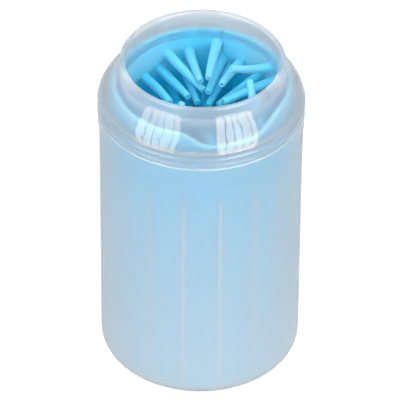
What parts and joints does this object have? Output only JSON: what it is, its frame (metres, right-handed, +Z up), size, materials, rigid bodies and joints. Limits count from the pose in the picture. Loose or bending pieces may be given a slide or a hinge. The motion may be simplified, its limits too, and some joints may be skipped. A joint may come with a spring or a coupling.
{
  "type": "paw washer cup",
  "caption": "Translucent ribbed tumbler with a twist-lock collar and a removable tube of soft inward-pointing silicone fingers that wash a dog's paw.",
  "frame": {"origin": "centre of the cup's base, on the surface that it stands on", "axes": "+Z up along the cup's axis, towards the mouth; the front is -Y"},
  "size_m": [0.09, 0.0898, 0.155],
  "materials": {
    "frosted_plastic": "translucent polypropylene, frosted, faint moulding haze",
    "clear_plastic": "translucent polypropylene, polished outside",
    "white_silicone": "translucent silicone, matte",
    "blue_silicone": "soft silicone, satin, light blue"
  },
  "bodies": {
    "cup": {"cup": "frosted_plastic"},
    "bristle_mat": {"bristle_mat": "blue_silicone"},
    "seal_ring": {"seal_ring": "white_silicone"},
    "collar": {"collar": "clear_plastic"}
  },
  "joints": [
    {"name": "mat_lift", "type": "slide", "parent": "cup", "child": "bristle_mat", "axis": [0, 0, 1], "range_m": [0, 0.15]},
    {"name": "collar_lift", "type": "slide", "parent": "bristle_mat", "child": "seal_ring", "axis": [0, 0, 1], "range_m": [0, 0.06]},
    {"name": "collar_turn", "type": "hinge", "parent": "seal_ring", "child": "collar", "pos_m": [0, 0, 0.135], "axis": [0, 0, -1], "range_deg": [0, 45]}
  ]
}
